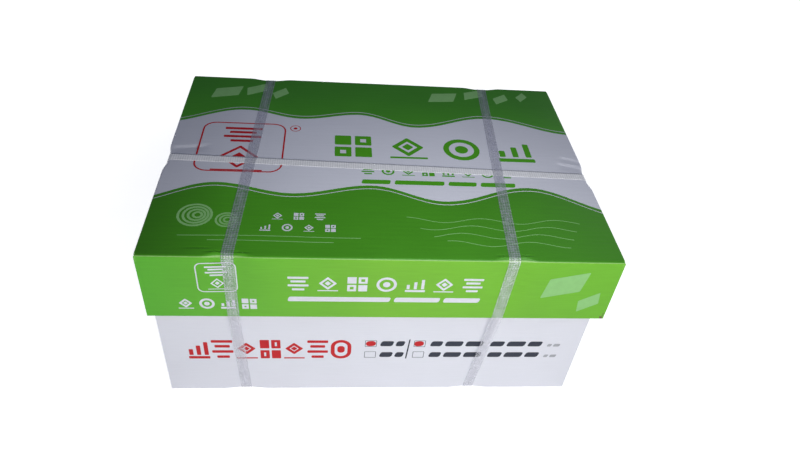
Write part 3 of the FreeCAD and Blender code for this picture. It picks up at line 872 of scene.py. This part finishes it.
def tray_front_shapes():
    """What is printed on the tray's front wall, at places in x and z."""
    row = ("steps", "stack", "kite", "tiles", "kite", "stack", "ring")
    red = blocks(-0.193, -0.029, 0.0675, 0.0300, row, 0.0040, 0.70)
    red += [shape(x, 0.0768, 0.0052, 0.0040, 0.0040, angle=0.12) for x in (-0.0092, 0.0405)]
    dark, grey = [], []
    for z in (0.0768, 0.0590):
        dark += [shape(x, z, 0.0060, 0.0050, 0.0006, stroke=0.00055) for x in (-0.0092, 0.0413)]
        dark += words(0.001, 0.0255, z, 0.0080, (3, 2), 0.003, 0.25)
        dark += words(0.053, 0.1080, z, 0.0080, (2, 3, 3), 0.0035, 0.25)
        dark += words(0.116, 0.171, z, 0.0080, (3, 4, 3), 0.0035, 0.25)
        grey += words(0.1775, 0.191, z - 0.002, 0.0042, (2, 3), 0.002, 0.25)
    dark.append(shape(0.0296, 0.0680, 0.0007, 0.0155, 0.0005, slant=0.06))
    return {"red": red, "dark": dark, "grey": grey}


# Materials


class Paint:
    """A material in the making: its node tree, its Principled shader and short ways to add nodes."""

    def __init__(self, name):
        self.material = bpy.data.materials.new(name)
        self.material.use_nodes = True
        self.tree = self.material.node_tree
        self.shader = self.tree.nodes["Principled BSDF"]
        self.place = self.add("TexCoord").outputs["Object"]

    def feed(self, socket, source):
        """Links a socket to an output of another node, or sets its own value."""
        if isinstance(source, bpy.types.NodeSocket):
            self.tree.links.new(source, socket)
        else:
            socket.default_value = source

    def add(self, kind, inputs=(), **settings):
        """A new node, with its settings made and its inputs fed."""
        node = self.tree.nodes.new("ShaderNode" + kind)
        for key, value in settings.items():
            setattr(node, key, value)
        for socket, source in dict(inputs).items():
            self.feed(node.inputs[socket], source)
        return node

    def noise(self, scale, detail, place=None):
        """The level of a noise on the piece, or on a stretched place of it."""
        inputs = {"Vector": place or self.place, "Scale": scale, "Detail": detail}
        return self.add("TexNoise", inputs).outputs["Fac"]

    def axis(self, name):
        """The place along X, Y or Z."""
        return self.add("SeparateXYZ", {"Vector": self.place}).outputs[name]

    def attribute(self, name):
        """The value of one of the mesh's attributes."""
        return self.add("Attribute", attribute_name=name).outputs["Fac"]

    def maths(self, operation, *terms):
        """The result of an operation on its terms."""
        return self.add("Math", enumerate(terms), operation=operation).outputs[0]

    def ranged(self, value, start, end, low=0.0, high=1.0, **settings):
        """A value between start and end moved to between low and high, and held there."""
        inputs = {"Value": value, "From Min": start, "From Max": end, "To Min": low, "To Max": high}
        return self.add("MapRange", inputs, **settings).outputs[0]

    def ramp(self, value, stops):
        """A colour that runs through its (position, colour) stops."""
        node = self.add("ValToRGB", {"Fac": value})
        elements = node.color_ramp.elements
        for element, (position, shade) in zip((elements[0], elements[-1]), (stops[0], stops[-1])):
            element.position = position
            element.color = (*shade, 1.0)
        for position, shade in stops[1:-1]:
            elements.new(position).color = (*shade, 1.0)
        return node.outputs["Color"]

    def blend(self, kind, share, first, second):
        """Two colours blended, by a share of the second."""
        node = self.add("Mix", data_type="RGBA", blend_type=kind)
        for index, source in ((0, share), (6, first), (7, second)):
            self.feed(node.inputs[index], source)
        return node.outputs[2]

    def bump(self, height, strength, distance):
        """Gives the shader the relief of a height."""
        relief = self.add("Bump", {"Height": height, "Strength": strength, "Distance": distance})
        self.feed(self.shader.inputs["Normal"], relief.outputs["Normal"])

    def finish(self, base, roughness, specular, **others):
        """The material, with its shader fed."""
        sockets = {"Base Color": base, "Roughness": roughness, "Specular IOR Level": specular, **others}
        for socket, source in sockets.items():
            self.feed(self.shader.inputs[socket], source)
        return self.material


def toned(ink, level):
    """A colour at a share of its strength, no lighter than white."""
    return tuple(min(1.0, level * c) for c in ink)


def board_material(
    name, inks, wear_and_highlight_colour, roughness=0.42, specular=0.4, mottle=0.06, flutes=0.35, axis="X", rub=(0.35, 0.95),
):
    """Coated board: faint mottling and streaks in the ink, flutes that show through, and a pale band at the folds
    that is partly rubbed wear and partly a painted highlight.

    inks is a list of (place along the axis, colour): the ink fades from each place to the next. rub is the value of
    the fold band at which its pale colour begins and at which it is full.
    """
    paint = Paint(name)
    cloud = paint.noise(14.0, 3.0)
    stretched = paint.add("Mapping", {"Vector": paint.place, "Scale": (30.0, 900.0, 900.0)})
    streak = paint.noise(1.0, 2.0, stretched.outputs["Vector"])
    level = paint.ranged(paint.maths("ADD", cloud, streak), 0.7, 1.3, 1.0 - mottle, 1.0 + mottle)
    ink = (*inks[0][1], 1.0)
    if len(inks) > 1:
        first, last = inks[0][0], inks[-1][0]
        stops = [((at - first) / (last - first), shade) for at, shade in inks]
        ink = paint.ramp(paint.ranged(paint.axis(axis), first, last), stops)
    tint = paint.blend("MULTIPLY", 1.0, level, ink)
    grain = paint.maths("MULTIPLY_ADD", paint.noise(420.0, 4.0), 0.5, 0.5)
    # The wear attribute also carries the painted highlight of the folds
    scuff_and_highlight = paint.maths("MULTIPLY", paint.attribute("wear"), grain)
    worn_and_highlight = paint.ranged(scuff_and_highlight, rub[0], rub[1], 0.0, 0.6)
    flute = paint.add(
        "TexWave", {"Vector": paint.place, "Scale": 50.0, "Distortion": 0.6, "Detail": 1.0}, bands_direction="Y",
    )
    paint.bump(paint.maths("ADD", flute.outputs["Fac"], streak), flutes, 0.00008)
    rough = paint.ranged(cloud, 0.0, 1.0, roughness - 0.05, roughness + 0.07)
    return paint.finish(paint.blend("MIX", worn_and_highlight, tint, (*wear_and_highlight_colour, 1.0)), rough, specular)


def kraft_material():
    """Raw board: brown fibres, with the flutes showing as dark and light steps along the cut."""
    kraft = bpy.context.scene.carton_colours.kraft
    paint = Paint("kraft_board")
    fibre = paint.noise(700.0, 5.0)
    along = paint.maths("ADD", paint.axis("X"), paint.axis("Y"))
    ripple = paint.maths("SINE", paint.maths("MULTIPLY", along, 2.0 * math.pi / FLUTE_PITCH))
    shade = paint.maths("MULTIPLY_ADD", ripple, 0.12, fibre)
    paint.bump(fibre, 0.5, 0.0002)
    return paint.finish(paint.ramp(shade, [(0.3, toned(kraft, 0.55)), (0.7, kraft)]), 0.85, 0.2)


def ink_material(name, ink):
    """A printed film with faint unevenness."""
    paint = Paint(name)
    return paint.finish(paint.ramp(paint.noise(160.0, 3.0), [(0.3, toned(ink, 0.93)), (0.7, ink)]), 0.5, 0.15)


def strap_material(name, tone, alpha, roughness, gloss, tilt, contrast):
    """Translucent plastic, faintly clouded and milkier on its embossed ribs than between them.

    Its face leans a little to one side, by tilt metres over half its width, and turns down at its far edge.
    """
    paint = Paint(name)
    share = paint.ranged(paint.maths("ADD", paint.noise(260.0, 3.0), paint.attribute("rib")), 0.4, 1.4)
    low, high = 1.0 - contrast, 1.0 + contrast
    base = paint.ramp(share, [(0.0, toned(tone, low)), (1.0, toned(tone, high))])
    cover = paint.ranged(share, 0.0, 1.0, alpha * low, min(1.0, alpha * high))
    across = paint.attribute("sideways")
    edge = paint.maths("MAXIMUM", paint.maths("SUBTRACT", across, 0.72), 0.0)
    leaning = paint.maths("MULTIPLY_ADD", edge, -3.5, across)
    paint.bump(paint.maths("MULTIPLY", leaning, tilt), 1.0, 1.0)
    return paint.finish(base, roughness, 1.0, Alpha=cover, IOR=gloss)


def wrap_material():
    """Ream wrapping paper with fine fibres."""
    wrap = bpy.context.scene.carton_colours.wrap
    paint = Paint("ream_wrap_paper")
    fibre = paint.noise(500.0, 5.0)
    paint.bump(fibre, 0.3, 0.0001)
    return paint.finish(paint.ramp(fibre, [(0.0, toned(wrap, 0.9)), (1.0, wrap)]), 0.6, 0.5)


def floor_material():
    """A pale floor that looks white to the camera and still takes a soft shadow. The glow that the camera sees is
    weaker near the carton, painted shade that deepens the shadow there.
    """
    paint = Paint("studio_floor")
    path = paint.add("LightPath").outputs
    seen = paint.maths("MAXIMUM", path["Is Camera Ray"], path["Is Glossy Ray"])
    seen = paint.maths("MAXIMUM", seen, path["Is Transmission Ray"])
    away = paint.add("VectorMath", {0: paint.place}, operation="LENGTH").outputs["Value"]
    # Painted shade: less glow within 0.3 m of the carton, full glow beyond 0.75 m
    near = paint.ranged(away, 0.30, 0.75, 0.80, 1.0, interpolation_type="SMOOTHSTEP")
    glow = paint.add("Emission", {"Strength": paint.maths("MULTIPLY", seen, near)})
    both = paint.add("AddShader", {0: paint.shader.outputs["BSDF"], 1: glow.outputs["Emission"]})
    paint.feed(paint.tree.nodes["Material Output"].inputs["Surface"], both.outputs[0])
    return paint.finish((*bpy.context.scene.carton_colours.floor, 1.0), 0.8, 0.0)


# Operators


class CARTON_OT_lid(bpy.types.Operator):
    """Folds the lid up from one printed board"""

    bl_idname = "carton.lid"
    bl_label = "Lid"

    def execute(self, context):
        colours, sizes = context.scene.carton_colours, context.scene.carton_sizes
        # Painted shade: the panel's green and white inks darken towards both ends along X
        panel_inks_shaded = [(at, toned(colours.green, level)) for at, level in GREEN_PAINTED_SHADE_LEVELS]
        white_inks_shaded = [(at, toned(colours.white, level)) for at, level in WHITE_PAINTED_SHADE_LEVELS]
        # Painted shade: the green darkens along Y towards the back
        back_inks_shaded = [(-0.02, colours.green), (0.12, colours.back_green)]
        # Painted shade at the left of the front wall, painted sheen in its middle and at its right
        wall_inks_lit = [(-0.22, colours.left_wall_green_shaded), (0.0, colours.front_green), (0.20, colours.right_wall_green_sheen)]
        # A lower rub makes the painted highlight along the front folds stronger
        front_wear_and_highlight_rub = (0.25, 0.70)
        kraft = kraft_material()
        inks = [
            board_material("lid_green_board", panel_inks_shaded, WORN_GREEN_AND_HIGHLIGHT, rub=front_wear_and_highlight_rub),
            board_material("lid_white_board", white_inks_shaded, WORN_WHITE, 0.45, 0.35, 0.025, 0.25),
            board_material("lid_front_green_board", wall_inks_lit, WORN_GREEN_AND_HIGHLIGHT, specular=0.25, rub=front_wear_and_highlight_rub),
            board_material("lid_back_green_board", back_inks_shaded, WORN_GREEN_AND_HIGHLIGHT, axis="Y"),
        ] + [kraft] * 4
        shell = lid_shell()
        columns = shell.columns(0.0017, [-shell.edge_x, shell.edge_x], 0.024)
        grids = board_grids(shell, columns, lid_bounds(), lid_dip, 14, (FRONT, BACK))
        piece = mesh_object("lid_board", grids, inks, outward=(0.0, 0.0, 1.0))
        thicken(piece, sizes.board, 4, math.radians(40.0))
        place(piece, "lid_board", "lid")
        return {"FINISHED"}


class CARTON_OT_tray(bpy.types.Operator):
    """Folds the tray up from one white board"""

    bl_idname = "carton.tray"
    bl_label = "Tray"

    def execute(self, context):
        colours, sizes = context.scene.carton_colours, context.scene.carton_sizes
        inks = [(0.0, colours.white)]
        white = board_material("tray_white_board", inks, SCUFFED_BOARD, 0.45, 0.35, 0.02, 0.18, rub=(1.0, 1.3))
        shell = tray_shell()
        columns = shell.columns(0.0022, [], 0.02)
        bounds = [(level(-0.060), 18, 0), (level(0.030), 36, 0), (level(0.148), 24, 0)]
        grids = board_grids(shell, columns, bounds, tray_dip, 30, (0, 0))
        piece = mesh_object("tray_board", grids, [white, kraft_material()], outward=(0.0, 0.0, -1.0))
        thicken(piece, sizes.board, 1, math.radians(40.0))
        place(piece, "tray_board", "tray")
        return {"FINISHED"}


class CARTON_OT_straps(bpy.types.Operator):
    """Lays the embossed straps round the carton"""

    bl_idname = "carton.straps"
    bl_label = "Straps"

    def execute(self, context):
        colours, straps = context.scene.carton_colours, context.scene.strap_sizes
        crossed = strap_material("cross_strap_plastic", colours.strap, 0.235, 0.27, 2.15, -0.0003, 0.60)
        # The long strap's white tone is a painted sheen
        along = strap_material("long_strap_plastic", colours.long_strap, 0.86, 0.38, 1.9, 0.00115, 0.10)
        half_x, half_y = LID_HIGH.x, LID_HIGH.y
        s = straps.long
        hops = []
        for name, cross in zip(CROSS_STRAPS, (straps.cross_left, straps.cross_right)):
            over = (s[NEAR_TOP] + s[FAR_TOP]) / 2.0
            over += (s[FAR_TOP] - s[NEAR_TOP]) * cross[NEAR_TOP] / (2.0 * half_x)
            route = strap_route(cross, half_y, TRAY_LOW.y, TRAY_HIGH.y, straps.cross_weld, [over], [])
            self.skin(name, route, False, crossed)
            hops.append((cross[NEAR_FOOT] + cross[FAR_FOOT]) / 2.0)
        route = strap_route(s, half_x, TRAY_LOW.x, TRAY_HIGH.x, straps.long_weld, [], hops)
        self.skin(LONG_STRAP, route, True, along)
        return {"FINISHED"}

    def skin(self, name, route, swap, material):
        points, values = strap_points(route, swap)
        grids = [(points, 0, values, True)] + [(cap, 0, 0.0, False) for cap in end_caps(points)]
        up = (0.0, 0.0, 1.0)
        piece = mesh_object(name + "_skin", grids, [material], 1e-7, up, ("sideways", "rib"))
        piece.data.set_sharp_from_angle(angle=math.radians(50.0))
        place(piece, "strap", name)


class CARTON_OT_prints(bpy.types.Operator):
    """Prints plain shapes on the lid's panel, the lid's front and the tray's front"""

    bl_idname = "carton.prints"
    bl_label = "Print"

    def execute(self, context):
        colours = context.scene.carton_colours
        names = ("red", "green", "pale_green", "white", "dark", "grey")
        inks = {name: ink_material(name + "_ink", getattr(colours, name)) for name in names}
        inks["bare"] = ink_material("bare_board", toned(colours.kraft, 0.45))
        for name, shapes, surface, slot in (
            ("lid_top_print", lid_top_shapes(), lid_top_surface, "lid_board"),
            ("lid_front_print", lid_front_shapes(), wall_surface(lid_shell()), "lid_board"),
            ("tray_front_print", tray_front_shapes(), wall_surface(tray_shell()), "tray_board"),
        ):
            piece = print_object(name, list(shapes.values()), [inks[ink] for ink in shapes], surface)
            place(piece, slot)
        return {"FINISHED"}


class CARTON_OT_reams(bpy.types.Operator):
    """Gives the wrapped reams their paper"""

    bl_idname = "carton.reams"
    bl_label = "Reams"

    def execute(self, context):
        paper = wrap_material()
        for name in REAMS:
            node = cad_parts[name]
            node.data.materials.clear()
            node.data.materials.append(paper)
        return {"FINISHED"}


class CARTON_OT_stage(bpy.types.Operator):
    """Sets the floor, the lamps and the camera"""

    bl_idname = "carton.stage"
    bl_label = "Studio"

    def execute(self, context):
        scene = context.scene
        x, y = np.meshgrid([-FLOOR_HALF, FLOOR_HALF], [-FLOOR_HALF, FLOOR_HALF])
        corners = np.stack([x, y, 0.0 * x - FLOOR_GAP], axis=-1)
        mesh_object("studio_floor", [(corners, 0, 0.0, False)], [floor_material()])
        for lamp in LAMPS:
            self.lamp(*lamp)
        self.sky(scene)
        scene.view_settings.view_transform = "Standard"
        self.camera(scene)
        return {"FINISHED"}

    def sky(self, scene):
        """A dim blue sky that the camera sees as white."""
        world = bpy.data.worlds.new("studio")
        world.use_nodes = True
        scene.world = world
        tree = world.node_tree
        sky = tree.nodes["Background"]
        sky.inputs["Color"].default_value = (*SKY_COLOUR, 1.0)
        sky.inputs["Strength"].default_value = SKY_STRENGTH
        clean = tree.nodes.new("ShaderNodeBackground")
        clean.inputs["Color"].default_value = (1.0, 1.0, 1.0, 1.0)
        path = tree.nodes.new("ShaderNodeLightPath")
        mix = tree.nodes.new("ShaderNodeMixShader")
        tree.links.new(path.outputs["Is Camera Ray"], mix.inputs["Fac"])
        tree.links.new(sky.outputs[0], mix.inputs[1])
        tree.links.new(clean.outputs[0], mix.inputs[2])
        tree.links.new(mix.outputs[0], tree.nodes["World Output"].inputs["Surface"])

    def lamp(self, name, position, target, size, power, tone):
        """An area lamp at a position, turned to its target."""
        light = bpy.data.lights.new(name, "AREA")
        light.size = size
        light.energy = power
        light.color = tone
        lamp = bpy.data.objects.new(name, light)
        lamp.location = position
        lamp.rotation_euler = (Vector(target) - Vector(position)).to_track_quat("-Z", "Y").to_euler()
        bpy.context.scene.collection.objects.link(lamp)

    def camera(self, scene):
        """The photograph's camera: aimed by azimuth and elevation, and rolled."""
        azimuth, elevation, roll = (math.radians(angle) for angle in CAMERA_ANGLES)
        back = Vector((
            math.sin(azimuth) * math.cos(elevation), -math.cos(azimuth) * math.cos(elevation), math.sin(elevation),
        ))
        level = (-back).cross(Vector((0.0, 0.0, 1.0))).normalized()
        upright = level.cross(-back)
        right = math.cos(roll) * level + math.sin(roll) * upright
        up = -math.sin(roll) * level + math.cos(roll) * upright
        lens = bpy.data.cameras.new("camera")
        lens.sensor_fit = "HORIZONTAL"
        lens.sensor_width = 36.0
        lens.lens = lens.sensor_width * FOCAL_PIXELS / FRAME_PIXELS
        lens.clip_start = 0.01
        lens.dof.use_dof = False
        camera = bpy.data.objects.new("camera", lens)
        turned = Matrix((right, up, back)).transposed().to_4x4()
        camera.matrix_world = Matrix.Translation(CAMERA_PLACE) @ turned
        scene.collection.objects.link(camera)
        scene.camera = camera


class CARTON_PT_panel(bpy.types.Panel):
    """Lists the carton's operators and its settings"""

    bl_idname = "CARTON_PT_panel"
    bl_label = "Strapped paper carton"
    bl_space_type = "VIEW_3D"
    bl_region_type = "UI"
    bl_category = "Carton"

    def draw(self, context):
        for step in STEPS:
            self.layout.operator(step.bl_idname)
        for group in (context.scene.carton_sizes, context.scene.strap_sizes, context.scene.carton_colours):
            box = self.layout.box()
            for name in group.__annotations__:
                box.prop(group, name)


STEPS = (CARTON_OT_stage, CARTON_OT_tray, CARTON_OT_reams, CARTON_OT_lid, CARTON_OT_prints, CARTON_OT_straps)
CLASSES = (CartonSizes, StrapSizes, CartonColours) + STEPS + (CARTON_PT_panel,)


def register():
    for item in CLASSES:
        bpy.utils.register_class(item)
    bpy.types.Scene.carton_sizes = PointerProperty(type=CartonSizes)
    bpy.types.Scene.strap_sizes = PointerProperty(type=StrapSizes)
    bpy.types.Scene.carton_colours = PointerProperty(type=CartonColours)


def unregister():
    del bpy.types.Scene.carton_colours
    del bpy.types.Scene.strap_sizes
    del bpy.types.Scene.carton_sizes
    for item in reversed(CLASSES):
        bpy.utils.unregister_class(item)


def main():
    register()
    bpy.ops.carton.stage()
    bpy.ops.carton.tray()
    bpy.ops.carton.reams()
    bpy.ops.carton.lid()
    bpy.ops.carton.prints()
    bpy.ops.carton.straps()


if __name__ == "__main__":
    main()
